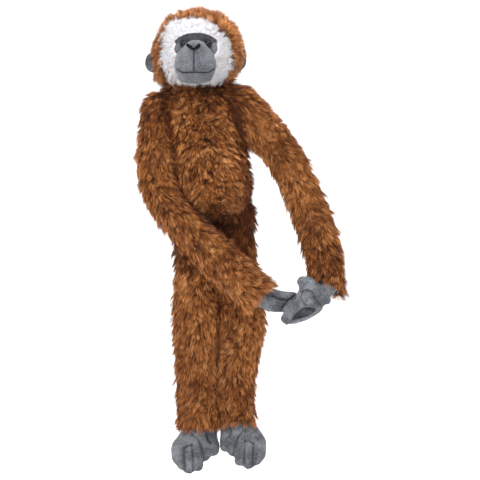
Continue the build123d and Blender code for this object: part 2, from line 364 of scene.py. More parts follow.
def grow_pile(name, source, comb, seed, length=PILE_LENGTH, width=LOCK_WIDTH, per_m2=LOCKS_PER_M2,
              spacing=TUFT_SPACING, rise=0.6, lay=0.75, gather=0.3, unruly=0.5, keep=None,
              long_where=None, shade_where=None):
    """Pile on a mesh, in tufts that lean along the comb and close in towards their tips.

    A lock's tip stands rise of its length up and lay of it over. keep is the chance of a lock at each
    place, long_where multiplies its length and shade_where is added to its shade.
    """
    rng = np.random.default_rng(seed)
    points, outward = scatter(source, per_m2, rng, keep)
    count = len(points)
    swirl = np.stack([waves(points, SWIRL_SCALE, seed + k) for k in (1, 2, 3)], axis=1)
    tuft, centres = gather_tufts(points, per_m2, spacing, rng)
    tuft_push = rng.normal(size=(len(centres), 3)) * unruly
    tuft_long = rng.uniform(0.75, 1.15, len(centres))
    tuft_rise = rng.uniform(0.6, 1.3, len(centres))
    tuft_shade = rng.normal(size=len(centres)) * TUFT_SHADES
    combed = comb(points, outward) + (swirl + tuft_push[tuft]) * unruly
    combed = combed + rng.normal(size=(count, 3)) * STRAY
    combed = unit(combed - (combed * outward).sum(axis=1, keepdims=True) * outward)
    long = length * tuft_long[tuft] * rng.uniform(0.8, 1.12, count)
    if long_where is not None:
        long = long * long_where(points)
    steps = LOCK_STEPS[None, :, None]
    up = outward[:, None, :] * (rise * tuft_rise[tuft, None, None] * (1.5 * steps - 0.5 * steps**2))
    lean = combed[:, None, :] * (lay * (0.4 * steps + 0.6 * steps**2))
    reach = (up + lean) * long[:, None, None]
    meet = points[centres][:, None, :] + reach[centres]
    spine = points[:, None, :] + reach
    spine = spine + (meet[tuft] - spine) * gather * steps**1.3
    spine[:, 0] = points - outward * ROOT_DEPTH
    along = unit(spine[:, 2] - spine[:, 0])
    side = np.cross(along, outward + rng.normal(size=(count, 3)) * 0.4)
    side = unit(side - (side * along).sum(axis=1, keepdims=True) * along)
    shade = MEAN_SHADE + tuft_shade[tuft] + rng.normal(size=count) * LOCK_SHADES
    shade = shade + PATCH_SHADES * waves(points, PATCH_SCALE, seed + 9)
    if shade_where is not None:
        shade = shade + shade_where(points)
    wide = width * rng.uniform(0.6, 1.2, count)
    return lock_mesh(name, spine, side, wide, np.clip(shade, 0.02, 0.98))


# ---- materials

def set_inputs(node, values):
    for name, value in values.items():
        node.inputs[name].default_value = value


def material(name, roughness, sheen=0.0, specular=0.3):
    made = bpy.data.materials.new(name)
    made.use_nodes = True
    shader = made.node_tree.nodes["Principled BSDF"]
    set_inputs(shader, {"Roughness": roughness, "Sheen Weight": sheen, "Specular IOR Level": specular})
    return made, made.node_tree, shader


def ramp(tree, source, stops):
    node = tree.nodes.new("ShaderNodeValToRGB")
    elements = node.color_ramp.elements
    while len(elements) < len(stops):
        elements.new(0.5)
    for element, (place, colour) in zip(elements, stops):
        element.position = place
        element.color = (*colour, 1)
    tree.links.new(source, node.inputs[0])
    return node.outputs["Color"]


def multiplied(tree, a, b):
    mix = tree.nodes.new("ShaderNodeMix")
    mix.data_type = "RGBA"
    mix.blend_type = "MULTIPLY"
    set_inputs(mix, {"Factor": 1.0})
    tree.links.new(a, mix.inputs["A"])
    tree.links.new(b, mix.inputs["B"])
    return mix.outputs["Result"]


def noise(tree, scale, detail, roughness=0.55):
    node = tree.nodes.new("ShaderNodeTexNoise")
    set_inputs(node, {"Scale": scale, "Detail": detail, "Roughness": roughness})
    place = tree.nodes.new("ShaderNodeTexCoord")
    tree.links.new(place.outputs["Object"], node.inputs["Vector"])
    return node.outputs["Fac"]


def bump(tree, shader, height, distance):
    node = tree.nodes.new("ShaderNodeBump")
    set_inputs(node, {"Strength": 0.5, "Distance": distance})
    tree.links.new(height, node.inputs["Height"])
    tree.links.new(node.outputs["Normal"], shader.inputs["Normal"])


def pile_material(name, shades, root, tip, sheen):
    """A lock's colour comes from its shade (u) and from how far along it is (v): painted shade darkens it
    towards the root and painted highlight lightens it at the tip.
    """
    made, tree, shader = material(name, roughness=0.65, sheen=sheen, specular=0.15)
    uv = tree.nodes.new("ShaderNodeUVMap")
    uv.uv_map = "OFBake"
    split = tree.nodes.new("ShaderNodeSeparateXYZ")
    tree.links.new(uv.outputs[0], split.inputs[0])
    body = ramp(tree, split.outputs["X"], shades)
    # Painted shade at the root and painted highlight at the tip, multiplied into the lock's colour.
    length = ramp(tree, split.outputs["Y"], [(0.0, root), (0.55, (0.72, 0.72, 0.72)), (1.0, tip)])
    tree.links.new(multiplied(tree, body, length), shader.inputs["Base Color"])
    return made


def cloth_material(name, low, high, roughness=0.85, sheen=0.3):
    """Short-napped cloth: mottled where the nap is brushed different ways, with a fine grain."""
    made, tree, shader = material(name, roughness, sheen, specular=0.2)
    brushed = ramp(tree, noise(tree, 75.0, 3.0), [(0.38, low), (0.62, high)])
    fine = ramp(tree, noise(tree, 620.0, 4.0, 0.75), [(0.36, (0.5, 0.5, 0.5)), (0.64, (1.35, 1.35, 1.35))])
    tree.links.new(multiplied(tree, brushed, fine), shader.inputs["Base Color"])
    bump(tree, shader, noise(tree, 700.0, 4.0, 0.75), 0.4 * MM)
    return made


BROWN_PILE = pile_material(
    "brown_pile",
    [(0.0, (0.06, 0.014, 0.003)), (0.3, (0.23, 0.068, 0.014)), (0.55, (0.43, 0.145, 0.034)),
     (0.8, (0.68, 0.28, 0.085)), (1.0, (0.9, 0.48, 0.2))],
    (0.09, 0.065, 0.05), (1.7, 1.65, 1.55), 0.06)
WHITE_PILE = pile_material(
    "white_pile",
    [(0.0, (0.88, 0.86, 0.9)), (0.4, (0.96, 0.94, 0.96)), (1.0, (1.0, 0.99, 1.0))],
    (0.85, 0.84, 0.87), (1.0, 1.0, 1.0), 0.2)
BROWN_CLOTH = cloth_material("brown_backing", (0.05, 0.014, 0.005), (0.14, 0.045, 0.015))
# The ruff's white backing is painted mid grey: painted shade for the cloth that shows between the white
# locks.
WHITE_CLOTH_IN_PAINTED_SHADE = cloth_material("white_backing_in_painted_shade", (0.5, 0.49, 0.52), (0.62, 0.6, 0.63), sheen=0.05)
GREY_VELOUR = cloth_material("grey_velour", (0.066, 0.07, 0.078), (0.155, 0.162, 0.178), sheen=0.2)
FACE_VELOUR = cloth_material("face_velour", (0.076, 0.08, 0.092), (0.126, 0.132, 0.15), sheen=0.2)
# Dark velour for the ears; the same dark colour is painted shade inside the left hand's loop.
DARK_VELOUR_AND_PAINTED_SHADE = cloth_material("dark_velour", (0.035, 0.04, 0.047), (0.085, 0.092, 0.105))
GREY_PILE = pile_material("grey_pile", [(0.0, (0.04, 0.045, 0.055)), (1.0, (0.12, 0.125, 0.145))],
                          (0.5, 0.5, 0.5), (1.0, 1.0, 1.0), 0.2)


def mottle(tree, shader, scale, low, high):
    mottled = ramp(tree, noise(tree, scale, 2.0), [(0.35, low), (0.7, high)])
    tree.links.new(mottled, shader.inputs["Base Color"])


def plastic_material(name, colour, roughness, specular=0.5):
    """Moulded plastic with faint flow marks."""
    made, tree, shader = material(name, roughness, specular=specular)
    mottle(tree, shader, 160.0, colour, tuple(c * 1.25 for c in colour))
    return made


def thread_material(name, low, high):
    """Matt twisted thread."""
    made, tree, shader = material(name, roughness=0.6, specular=0.04)
    mottle(tree, shader, 1500.0, low, high)
    bump(tree, shader, noise(tree, 1800.0, 2.0), 0.1 * MM)
    return made


EYE_PLASTIC = plastic_material("eye_plastic", (0.002, 0.002, 0.003), 0.09, 0.22)
WASHER_PLASTIC = plastic_material("washer_plastic", (0.7, 0.7, 0.68), 0.4)
FASTENER_TAPE = cloth_material("fastener_tape", (0.05, 0.055, 0.065), (0.09, 0.095, 0.11), 0.6)
BLACK_THREAD = thread_material("black_thread", (0.003, 0.003, 0.004), (0.012, 0.012, 0.014))


def finished(piece, look):
    piece.data.materials.clear()
    piece.data.materials.append(look)
    return piece


# ---- torso

# Height, centre X, centre Y, half width and half depth of each section, in millimetres.
TORSO_SECTIONS = np.array([
    (284, -26.5, 10.6, 8, 8),
    (288, -27.0, 10.2, 22, 25),
    (296, -28.0, 9.6, 32, 36),
    (312, -29.7, 9.6, 38, 42),
    (338, -32.7, 9.6, 38.5, 42),
    (368, -36.2, 12.0, 36.5, 36),
    (393, -39.2, 13.6, 38, 30),
    (409, -40.7, 13.6, 39, 26),
    (420, -41.7, 13.6, 36, 22),
    (428, -41.7, 13.6, 26, 17),
    (431, -41.7, 13.6, 10, 8),
]) * MM


def torso_at(z):
    """The torso's centre X and Y, half width and half depth at heights z."""
    return [np.interp(z, TORSO_SECTIONS[:, 0], TORSO_SECTIONS[:, k]) for k in (1, 2, 3, 4)]


def from_torso(points):
    """0 on the torso's middle line and 1 on its side, with the belly's size carried on below it."""
    mid_x, mid_y, half_x, half_y = torso_at(np.clip(points[:, 2], 305 * MM, 425 * MM))
    return np.hypot((points[:, 0] - mid_x) / half_x, (points[:, 1] - mid_y) / half_y)


def limb_tone_and_painted_shade(points):
    """Limbs are a little darker all over, and painted shade darkens them in the crease where they press on
    the torso or tuck in under the belly.
    """
    # Painted shade: darker where the limb lies close to the torso's side and high up behind the belly's
    # front.
    near = 1 - smoothstep(from_torso(points), 1.05, 1.5)
    behind = smoothstep(points[:, 1], -38 * MM, -26 * MM)
    return -0.09 - 0.5 * near * behind * smoothstep(points[:, 2], 225 * MM, 280 * MM)


def torso_painted_shade(points):
    """The belly is lightest; under the chin and at the armpits and hips the pile is darkened with painted
    shade.
    """
    z = points[:, 2]
    mid_x, _, half_x, _ = torso_at(z)
    beside = np.abs(points[:, 0] - mid_x) / half_x
    under = 1 - smoothstep(z, 288 * MM, 297 * MM)
    chin = smoothstep(z, 400 * MM, 424 * MM)
    # Painted shade at the sides by the arms, under the belly and under the chin.
    return -0.02 - 0.36 * smoothstep(beside, 0.7, 0.98) - 0.35 * under - 0.3 * chin


def make_torso():
    """The stuffed cloth of the torso, with its pile in four bands from the belly up."""
    levels = curve_through(TORSO_SECTIONS[:, :3], 48)
    _, _, half_x, half_y = torso_at(levels[:, 0])
    centres = levels[:, [1, 2, 0]]
    body = ring_mesh("torso_plush", rings(centres, ACROSS, BACKWARD, half_x, half_y, around=48))
    remesh(body, 5 * MM, smooth=4)
    inflate(body, 3 * MM)
    bands = np.linspace(TORSO_SECTIONS[0, 0], TORSO_SECTIONS[-1, 0], 5)
    bands[0], bands[-1] = -math.inf, math.inf

    def comb(points, outward):
        return outward * 0.1 - UP

    for k, part in enumerate(("belly", "waist", "chest", "shoulders")):
        def keep(points, outward, above=bands[k], below=bands[k + 1]):
            return (points[:, 2] >= above) & (points[:, 2] < below)

        pile = grow_pile(f"torso_pile_{part}", body, comb, 101 + k, keep=keep, rise=0.7, lay=0.6,
                         shade_where=torso_painted_shade)
        finished(pile, BROWN_PILE)
        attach(pile, "torso")
    finished(body, BROWN_CLOTH)
    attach(body, "torso")
    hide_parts("torso_skin", "torso_stuffing")


# ---- limbs

LIMB_BODIES = {"arm": ("upper_arm", "forearm"), "leg": ("thigh", "shin")}
LIMB_JOINTS = {"arm": ("shoulder", "elbow", "wrist"), "leg": ("hip", "knee", "ankle")}
LIMB_STEPS = 120
HEM_STEPS = 16
FRINGE_STEPS = 14
LIMB_FLAT = 0.85

# In millimetres: how far a limb's line bows out from straight, halfway to its bend and halfway on;
# its radii at the top, halfway down, at the bend, halfway again and at the hem; how far the hem stops
# short of the last joint and how far beside it. slant makes the hem reach further down on its +X
# side, and fringe is how much longer the pile at the hem grows.
LIMBS = {
    ("right", "arm"): dict(bows=((-7, -1, 0), (1, 0, -5)), radii=(15, 16.5, 14, 16.5, 15.5),
                           hem_back=7, seed=11),
    ("left", "arm"): dict(bows=((4, 1.5, 6), (14.5, 4, -10.5)), radii=(22, 16, 14.5, 15.5, 13.5),
                          hem_back=8, hem_shift=(9, 2.5, 0), slant=0.8, fringe=0.2, seed=13),
    ("right", "leg"): dict(bows=((1.5, 0, 0), (0.5, 0.5, 0)), radii=(17.5, 17.5, 20.5, 18, 17.5),
                           hem_back=4, hem_shift=(2, 0, 0), seed=17),
    ("left", "leg"): dict(bows=((-2, 0, 0), (-6, 0.5, 0)), radii=(17.5, 17.5, 20.5, 17, 15.5),
                          hem_back=4, hem_shift=(-5, 0, 0), seed=19),
}

# The cuff's edge turned in: how far back up the limb, in millimetres, and its share of the hem's size.
TURNED_IN = ((0.0, 0.93), (3.0, 0.8), (12.0, 0.7))


def make_limb(side, kind, bows, radii, hem_back, seed, hem_shift=(0, 0, 0), slant=0.0, fringe=0.1):
    """A furry limb as three sleeves on one smooth line, split halfway between its joints."""
    top, bend, last = (JOINT[f"{side}_{name}"] for name in LIMB_JOINTS[kind])
    top_out = top + unit(top - bend) * 4 * MM
    hem = last - unit(last - bend) * (hem_back * MM) + np.array(hem_shift) * MM
    stations = [top_out, (top + bend) / 2 + np.array(bows[0]) * MM, bend,
                (bend + last) / 2 + np.array(bows[1]) * MM, hem]
    centres = curve_through(stations, LIMB_STEPS)
    at = nearest_index(np.array(stations), centres)
    wide = np.interp(np.arange(LIMB_STEPS), at, radii) * MM
    tangents, first, second = path_frames(centres, BACKWARD)
    ring = rings(centres, first, second, wide * LIMB_FLAT, wide)
    towards_hem = smoothstep(np.arange(LIMB_STEPS), LIMB_STEPS - HEM_STEPS, LIMB_STEPS)[:, None]
    beside = ring[:, :, 0] - centres[:, None, 0]
    ring = ring + (beside * towards_hem * slant)[:, :, None] * tangents[:, None, :]

    def comb(points, outward):
        return tangents[nearest_index(points, centres)] - UP * 0.25

    def longer_at_hem(points):
        near = nearest_index(points, centres)
        return 1 + fringe * smoothstep(near, LIMB_STEPS - FRINGE_STEPS, LIMB_STEPS)

    dome = np.linspace(math.pi / 2, 0, 9)[:-1]
    caps = np.array([centres[0] - tangents[0] * wide[0] * math.sin(t) +
                     (ring[0] - centres[0]) * max(math.cos(t), TIP_SHARE) for t in dome])
    turned_in = np.array([centres[-1] - tangents[-1] * back * MM + (ring[-1] - centres[-1]) * share
                          for back, share in TURNED_IN])
    upper, lower = (f"{side}_{name}" for name in LIMB_BODIES[kind])
    sleeves = {
        upper: np.concatenate([caps, ring[:at[1] + 1]]),
        f"{side}_{LIMB_JOINTS[kind][1]}": ring[at[1]:at[3] + 1],
        lower: ring[at[3]:],
    }
    for k, (label, rows) in enumerate(sleeves.items()):
        growth = ring_mesh("growth", rows, False, False)
        pieces = []
        for half, way, rise in (("front", -1, 0.5), ("back", 1, 0.6)):
            def keep(points, outward, way=way):
                return outward[:, 1] * way > 0

            pile = grow_pile(f"{label}_pile_{half}", growth, comb, seed * 10 + k, rise=rise,
                             keep=keep, long_where=longer_at_hem, shade_where=limb_tone_and_painted_shade)
            pieces.append(finished(pile, BROWN_PILE))
        bpy.data.objects.remove(growth)
        if label == lower:
            rows = np.concatenate([rows, turned_in])
        sleeve = finished(ring_mesh(f"{label}_plush", rows), BROWN_CLOTH)
        body = label if label in (upper, lower) else None
        for piece in pieces + [sleeve]:
            if body is None:
                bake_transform(piece)
            else:
                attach(piece, body)
        if body is not None:
            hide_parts(f"{body}_skin", f"{body}_stuffing")


# ---- hands and feet

CREASE_DEPTH = 3.0 * MM
CREASE_WIDTH = 1.1 * MM
CREASE_LIP = 0.45 * MM


def crease(piece, lines):
    """Presses narrow creases with raised lips into the front of a soft form, along lines of points."""
    co, normals = coordinates(piece), vertex_normals(piece)
    facing = smoothstep(-normals[:, 1], -0.1, 0.5)
    for line in lines:
        path = curve_through(line, 40)
        away = np.hypot(co[:, None, 0] - path[None, :, 0], co[:, None, 2] - path[None, :, 2]).min(axis=1)
        press = CREASE_DEPTH * bell(away, CREASE_WIDTH) - CREASE_LIP * bell(away - 3 * MM, 1.6 * MM)
        co = co - normals * (press * facing)[:, None]
    set_coordinates(piece, co)


def velour_form(name, pods, body, creases=(), look=GREY_VELOUR, replaced=True):
    """A soft velour skin over round-ended bars, crumpled and creased."""
    form = joined(name, pods)
    remesh(form, 1.5 * MM, smooth=3)
    inflate(form, 1.2 * MM)
    co, normals = coordinates(form), vertex_normals(form)
    crumple = waves(co, 9 * MM, len(name)) * 0.7 + waves(co, 20 * MM, len(name) + 1) * 0.9
    set_coordinates(form, co + normals * crumple[:, None] * 0.6 * MM)
    finer = form.modifiers.new("finer", "SUBSURF")
    finer.levels = finer.render_levels = 1
    apply_modifiers(form)
    crease(form, creases)
    finished(form, look)
    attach(form, body)
    if replaced:
        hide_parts(f"{body}_skin", f"{body}_stuffing")


def places_from(joint, outward=1.0):
    """A function that gives the points at places in millimetres from a joint, with X along outward."""
    def at(*places):
        return [JOINT[joint] + np.array((x * outward, y, z)) * MM for x, y, z in places]

    return at


def make_left_hand():
    """A hand curled into a loop: a band on the wrist side, a palm, fingers as one band and a lip."""
    at = places_from("left_wrist")
    pods = [
        pod(at((12, 5, 14), (10, 4, 6), (4, 2, 0), (-8, 0, -8)), [11, 10, 8, 8]),
        pod(at((-17.5, -3, 10.5), (-9.5, -3.5, 9), (0, -4, 1), (8, -3, -9)), [6.2, 6.6, 6.2, 5.2], 0.8),
        pod(at((-16.5, -2, 9), (-15, -2, -3)), [6, 7], 0.8),
        pod(at((-7, 0, -4), (-19, 0, -4)), [9, 6.5], 0.7),
        pod(at((1, -1, -13.5), (-14, -1, -10)), [5, 7], 0.7),
        pod(at((-17, -3, -8), (-28.5, -3.5, -17.5), (-36, -3, -28.5)), [6.2, 6.4, 5.6], 0.75),
        pod(at((-35, -1, -33.5), (-21, 0, -31), (-9, 0, -26.5), (1, -1, -19)), [2.4, 2.2, 2.2, 3], 1.0),
    ]
    creases = [
        at((-20, 0, 0), (-12, 0, 1.5), (-7, 0, -1.5), (-3.5, 0, -9), (3, 0, -15)),
        at((-18.5, 0, 1), (-19.5, 0, -7), (-14, 0, -15)),
    ]
    velour_form("left_hand_velour", pods, "left_hand", creases)
    # Painted shade: a sheet of dark velour set behind the loop, where the hollow of the curled hand lies in
    # shadow.
    shade_lining = [pod(at((0, 5, -17), (-12, 5.5, -19.5), (-24, 5.5, -25), (-34, 5, -30)), [4, 9, 8, 4], 0.4)]
    velour_form("left_palm_velour", shade_lining, "left_hand", look=DARK_VELOUR_AND_PAINTED_SHADE, replaced=False)


def make_right_hand():
    """A flat hand that reaches behind the other: a wrist, a palm and a folded row of fingers."""
    at = places_from("right_wrist")
    pods = [
        pod(at((-12, 0, 6), (0, 0, 0), (12, 0, -1)), [9, 10, 11], 0.8),
        pod(at((6, 0, 0), (24, 0, -2)), [13, 11], 0.5),
        pod(at((6, -2, 9), (18, -2, 6), (32, -2, 4)), [5, 5, 5], 0.9),
        pod(at((10, -2, -9), (32, -2, -10)), [4.5, 4], 0.9),
        pod(at((20, 0, 0), (42, 0, -4)), [10, 8], 0.55),
    ]
    creases = [
        at((8, 0, 5), (18, 0, 0.5), (30, 0, 0)),
        at((17, 0, -12), (24, 0, -3), (33, 0, 5)),
    ]
    velour_form("right_hand_velour", pods, "right_hand", creases)


# How far out and how far forward each ring of a fastener is, in shares of its half sizes.
FASTENER_RINGS = ((0.02, 1.0), (0.6, 1.0), (0.9, 0.95), (1.0, 0.6), (1.02, 0.0), (1.0, -0.9), (0.5, -1.0),
                  (0.02, -1.0))


def make_fastener(side):
    """The round patch of hook or loop tape on a palm, with its nap of loops."""
    node = f"{side}_palm_fastener"
    low, high, middle = box_of(node)
    half = (high - low) / 2
    turned = -1.0 if side == "right" else 1.0
    turn = np.linspace(0, 2 * math.pi, 48, endpoint=False)
    rows = []
    for share, lift in FASTENER_RINGS:
        row = np.tile(middle, (len(turn), 1))
        row[:, 0] += np.cos(turn) * half[0] * share
        row[:, 2] += np.sin(turn) * half[2] * share
        row[:, 1] += turned * half[1] * lift
        rows.append(row)
    patch = finished(ring_mesh(f"{node}_tape", np.array(rows)), FASTENER_TAPE)

    def palm_face(points, outward):
        return outward[:, 1] * turned > 0.7

    def wander(points, outward):
        return UP * 0.3

    nap = grow_pile(f"{node}_nap", patch, wander, 71, length=1.3 * MM, width=0.2 * MM, per_m2=6e6,
                    spacing=1.2 * MM, rise=0.8, lay=0.5, gather=0.2, unruly=1.0, keep=palm_face)
    finished(nap, GREY_PILE)
    for piece in (patch, nap):
        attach(piece, f"{side}_hand")
    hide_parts(node)


def make_foot(side):
    """A mitten-like foot that hangs toes down: a broad pad, three short toes and a big inner toe."""
    at = places_from(f"{side}_ankle", OUTWARD[side])
    pods = [
        pod(at((-4, 0, 12), (-2, 0, -4)), [10.5, 13]),
        pod(at((5, 0, -8), (10.5, -1, -22)), [15.5, 19], 0.6),
        pod(at((-8, 0, -3), (-13.5, -1, -18)), [14, 11], 0.65),
        pod(at((-5, -1, -20), (-7.5, -1, -27)), [9, 8.5], 0.7),
        pod(at((18, -1, -16), (21, -2, -30), (17, -3, -38)), [8.5, 8, 6.5], 0.95),
        pod(at((9.5, -2, -24), (9, -4, -41.5)), [7.5, 7.2], 1.0),
        pod(at((1.5, -2, -22), (-0.5, -4, -39)), [7.5, 6.8], 1.0),
        pod(at((-7, -2, -12), (-14, -3, -19), (-17, -4, -23)), [7.5, 7.5, 7], 1.0),
    ]
    creases = [
        at((14.5, 0, -20), (14, 0, -30), (13.5, 0, -44)),
        at((5.5, 0, -16), (4.5, 0, -30), (4, 0, -48)),
        at((6, 0, -4), (-2, 0, -13), (-5.5, 0, -24), (-8, 0, -36)),
        at((-10, 0, 0), (-11, 0, -10), (-15, 0, -15)),
        at((14, 0, -20), (9, 0, -17), (4, 0, -18)),
    ]
    velour_form(f"{side}_foot_velour", pods, f"{side}_foot", creases)


# ---- head

_, HEAD_HIGH, HEAD_CENTRE = box_of("head_skin")
HEAD_MIDDLE = np.array((HEAD_CENTRE[0], JOINT["neck_turn"][1] - 2 * MM, HEAD_HIGH[2] - 40 * MM))
HEAD_HALF = np.array((45.0, 43.0, 38.5)) * MM
MUZZLE_LOW, _, MUZZLE_CENTRE = box_of("muzzle_skin")
MUZZLE_MIDDLE = np.array((MUZZLE_CENTRE[0], MUZZLE_LOW[1] + 21 * MM, MUZZLE_CENTRE[2] + 2.3 * MM))
PANEL_MIDDLE = box_of("eye_panel")[2] - UP * 3 * MM
PANEL_HALF = 26.5 * MM, 15.5 * MM
FACE_MIDDLE = HEAD_MIDDLE + np.array((-1.5, -40.0, -3.0)) * MM
RUFF_HALF = 37 * MM, 35 * MM
RUFF_POWER = 2.7


def from_panel(points):
    """0 at the eye panel's middle and 1 on its edge, seen from the front."""
    x = (points[:, 0] - PANEL_MIDDLE[0]) / PANEL_HALF[0]
    return np.hypot(x, (points[:, 2] - PANEL_MIDDLE[2]) / PANEL_HALF[1])


def ball_mesh(name, middle, half):
    """A closed round form with its poles at the top and the bottom."""
    lift = np.linspace(-math.pi / 2, math.pi / 2, 48)[1:-1]
    centres = middle + np.outer(np.sin(lift), UP) * half[2]
    wide = np.cos(lift)
    return ring_mesh(name, rings(centres, ACROSS, BACKWARD, half[0] * wide, half[1] * wide, around=72))


def turned_form(name, middle, facing, profile, scale, steps, around):
    """A round form about an axis along facing, with a profile of places out from it and along it."""
    line = curve_through([(out, along, 0) for out, along in profile], steps) * scale
    turn = np.linspace(0, 2 * math.pi, around, endpoint=False)
    across = unit(np.cross(facing, UP))
    above = np.cross(across, facing)
    radial = np.cos(turn)[:, None] * across + np.sin(turn)[:, None] * above
    return ring_mesh(name, middle + line[:, 0, None, None] * radial[None] + line[:, 1, None, None] * facing)


def from_ruff(points):
    """0 at the ruff's middle and 1 on its edge: a rounded square with one corner and the chin cut off."""
    across = (points[:, 0] - FACE_MIDDLE[0]) / RUFF_HALF[0]
    up = (points[:, 2] - FACE_MIDDLE[2]) / RUFF_HALF[1]
    square = (np.abs(across) ** RUFF_POWER + np.abs(up) ** RUFF_POWER) ** (1 / RUFF_POWER)
    turn = np.arctan2(up, across)
    corners = 0.17 * bell(turn - 0.8, 0.4) - 0.08 * bell(turn - 2.3, 0.35)
    chin = 1 - smoothstep(np.abs(points[:, 0] - MUZZLE_MIDDLE[0]), 14 * MM, 19 * MM)
    chin = chin * smoothstep(MUZZLE_MIDDLE[2] - points[:, 2], 17 * MM, 21 * MM)
    return square * (1 + corners) + 0.6 * chin


def away_from_face(points):
    away = points - FACE_MIDDLE
    away[:, 1] = 0
    return unit(away)


def in_front(outward):
    return outward[:, 1] < 0.12


def is_brown(points, outward):
    inside = 1 - smoothstep(from_ruff(points), 0.9, 1.02)
    return 1 - in_front(outward) * inside


def is_white(points, outward):
    edge = 1 - smoothstep(from_ruff(points), 0.93, 1.02)
    return in_front(outward) * edge * smoothstep(from_panel(points), 0.85, 0.97)


def brown_comb(points, outward):
    low = (points[:, 2:3] < HEAD_MIDDLE[2]) * 0.6
    return away_from_face(points) * 0.55 - UP * low + BACKWARD * 0.45


def brown_long(points):
    """The brown pile is shorter at the sides and longer on the right cheek."""
    beside = smoothstep(np.abs(points[:, 0] - HEAD_MIDDLE[0]), 28 * MM, 43 * MM)
    cheek = smoothstep(HEAD_MIDDLE[2] - points[:, 2], 8 * MM, 22 * MM)
    cheek = cheek * (points[:, 0] < HEAD_MIDDLE[0])
    return 1 - 0.3 * beside * (1 - cheek) + 0.4 * cheek


def white_comb(points, outward):
    low = smoothstep(FACE_MIDDLE[2] - points[:, 2:3], 5 * MM, 25 * MM)
    return away_from_face(points) * (1 - 0.5 * low) - UP * (0.15 + low)


def white_long(points):
    """The white pile is shorter beside the eye panel and longer on the cheeks and chin."""
    low = smoothstep(FACE_MIDDLE[2] - points[:, 2], 12 * MM, 28 * MM)
    return 0.6 + 0.4 * smoothstep(from_panel(points), 1.0, 1.7) + 0.4 * low


def make_skull():
    """The head's stuffed cloth, the brown pile round it and the white ruff of pile on its front."""
    skull = ball_mesh("head_plush", HEAD_MIDDLE, HEAD_HALF)
    co = coordinates(skull)
    sides = smoothstep(np.abs(co[:, 0] - HEAD_MIDDLE[0]), 20 * MM, 45 * MM)
    cheeks = sides * (1 - smoothstep(co[:, 2], HEAD_MIDDLE[2] - 30 * MM, HEAD_MIDDLE[2] + 15 * MM))
    set_coordinates(skull, co + vertex_normals(skull) * (cheeks * 0.5 * MM)[:, None])
    piles = []
    for k, (half, way) in enumerate((("front", -1), ("back", 1))):
        def keep_half(points, outward, way=way):
            return is_brown(points, outward) * (outward[:, 1] * way > 0)

        brown = grow_pile(f"head_pile_{half}", skull, brown_comb, 300 + k, keep=keep_half, rise=0.72,
                          per_m2=1.9e6, long_where=brown_long)
        piles.append(finished(brown, BROWN_PILE))
    white = grow_pile("face_ruff_pile", skull, white_comb, 310, length=9 * MM, width=0.6 * MM,
                      per_m2=2.6e6, spacing=3.2 * MM, rise=0.55, lay=0.7, gather=0.35, unruly=0.5,
                      keep=is_white, long_where=white_long)
    piles.append(finished(white, WHITE_PILE))
    finished(skull, BROWN_CLOTH)
    for piece in (skull, *piles):
        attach(piece, "head")
    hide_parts("head_skin", "head_stuffing")


def on_skull(points):
    """Moves points in Y to the skull's front."""
    x = (points[:, 0] - HEAD_MIDDLE[0]) / HEAD_HALF[0]
    z = (points[:, 2] - HEAD_MIDDLE[2]) / HEAD_HALF[2]
    points = points.copy()
    points[:, 1] = HEAD_MIDDLE[1] - HEAD_HALF[1] * np.sqrt(np.maximum(1 - x**2 - z**2, 0.0))
    return points


def face_disc(name, middle, half_width, half_height, lift_at, steps=26, around=72):
    """A cloth patch on the skull's front, standing lift_at(share of the way out, place) proud."""
    share = np.linspace(0.02, 1.0, steps)
    turn = np.linspace(0, 2 * math.pi, around, endpoint=False)
    grid_share, grid_turn = np.meshgrid(share, turn, indexing="ij")
    flat = np.zeros((steps * around, 3))
    flat[:, 0] = middle[0] + (half_width * grid_share * np.cos(grid_turn)).ravel()
    flat[:, 2] = middle[2] + (half_height * grid_share * np.sin(grid_turn)).ravel()
    front = on_skull(flat)
    outward = unit((front - HEAD_MIDDLE) / HEAD_HALF**2)
    front = front + outward * lift_at(grid_share.ravel(), front)[:, None]
    return ring_mesh(name, front.reshape(steps, around, 3), True, False)


def make_ruff_cloth():
    """The white cloth that the ruff's pile grows from."""
    def lift(share, points):
        sunk = 1 - smoothstep(from_panel(points), 0.66, 0.86)
        return (0.9 - 1.6 * share**8 - 3.5 * sunk) * MM

    cloth = face_disc("face_ruff", FACE_MIDDLE, *RUFF_HALF, lift)
    finished(cloth, WHITE_CLOTH_IN_PAINTED_SHADE)
    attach(cloth, "head")
    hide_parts("face_ruff")


EYE_R = 4.3 * MM
EYE_PROFILE = ((0.02, 1.0), (0.35, 0.94), (0.66, 0.76), (0.86, 0.5), (0.92, 0.3), (1.0, 0.24), (1.03, 0.1),
               (1.0, 0.0), (0.6, -0.5), (0.02, -0.6))

# An eye sits nearer the middle and lower than its CAD node, and its ball stands proud of the skull.
EYE_INWARD = 2.3 * MM
EYE_DROP = 2.6 * MM
EYE_PROUD = 1.2 * MM


def eye_place(side):
    """The middle of an eye's ball, which stands half out of the eye panel."""
    middle = box_of(f"{side}_eye")[2]
    x = middle[0] - OUTWARD[side] * EYE_INWARD
    return on_skull(np.array([[x, 0.0, middle[2] - EYE_DROP]]))[0] - BACKWARD * EYE_PROUD


def make_eye(side):
    """A glossy domed eye with a turned collar. Its washer keeps its CAD shape and gets its plastic."""
    middle = eye_place(side)
    facing = unit(middle - HEAD_MIDDLE - UP * 14 * MM)
    eye = turned_form(f"{side}_glossy_eye", middle, facing, EYE_PROFILE, EYE_R, steps=40, around=40)
    finished(eye, EYE_PLASTIC)
    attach(eye, "head")
    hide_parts(f"{side}_eye")
    finished(frame["nodes"][f"{side}_eye_washer"], WASHER_PLASTIC)


